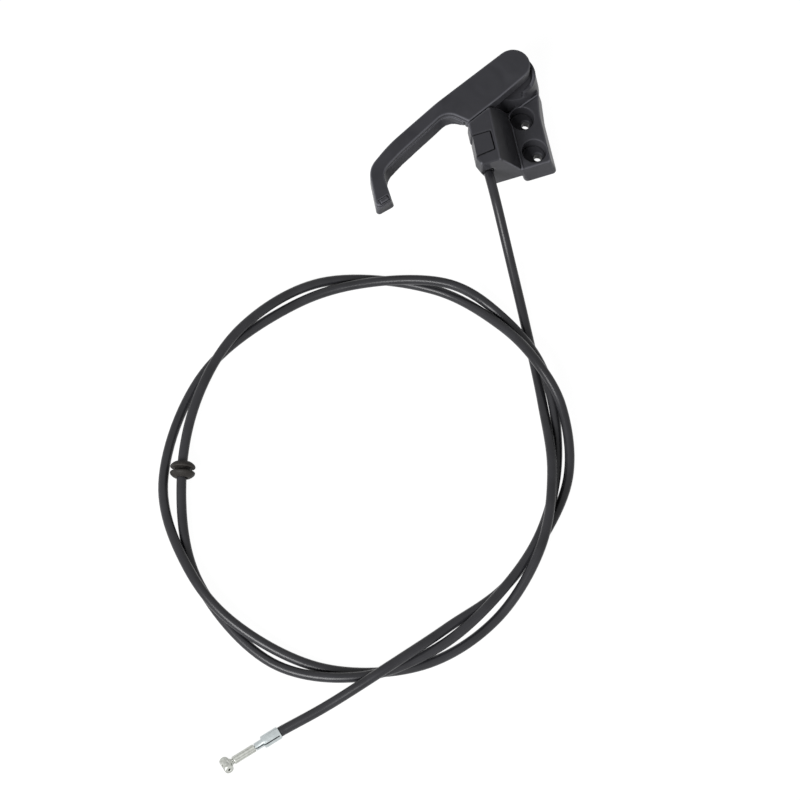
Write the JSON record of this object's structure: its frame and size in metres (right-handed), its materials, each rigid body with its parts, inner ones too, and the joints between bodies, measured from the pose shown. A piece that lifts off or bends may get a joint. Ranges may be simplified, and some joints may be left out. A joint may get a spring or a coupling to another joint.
{
  "type": "hood release handle",
  "caption": "Pull lever on a screw-on housing that draws the inner wire of a sheathed release cable, with the free cable lying in loose loops.",
  "frame": {"origin": "on the mounting face, midway between the two screw holes", "axes": "+Z out of the vehicle panel, +Y up the housing towards the lever's pivot, the grip arm reaches towards -X and the cable leaves towards -Y"},
  "size_m": [0.2859, 0.3433, 0.0384],
  "materials": {
    "black_nylon": "moulded black nylon with a fine satin grain",
    "black_sheath": "extruded black sheath with a soft sheen",
    "black_rubber": "matt moulded rubber",
    "steel": "bright drawn steel",
    "zinc_plate": "rolled steel with bright zinc plate",
    "zinc": "die-cast zinc alloy, dull grey"
  },
  "bodies": {
    "base": {"housing": "black_nylon", "sheath_end_block": "black_nylon", "cable_sheath": "black_sheath", "grommet": "black_rubber", "ferrule": "zinc_plate", "far_wire": "steel", "end_fitting": "zinc"},
    "lever": {"lever": "black_nylon", "pivot_pin": "steel", "retaining_washer": "steel", "wire_nipple": "zinc"},
    "inner_wire": {"handle_wire": "steel"}
  },
  "joints": [
    {"name": "lever_pull", "type": "hinge", "parent": "base", "child": "lever", "pos_m": [0.0015, 0.0337, 0], "axis": [0, 0, -1], "range_deg": [0, 50]},
    {"name": "wire_draw", "type": "slide", "parent": "base", "child": "inner_wire", "axis": [0.0872, 0.9962, 0], "range_m": [0, 0.0262]}
  ],
  "couplings": [
    {"joint": "wire_draw", "follows": "lever_pull", "m_per_rad": 0.0297}
  ]
}
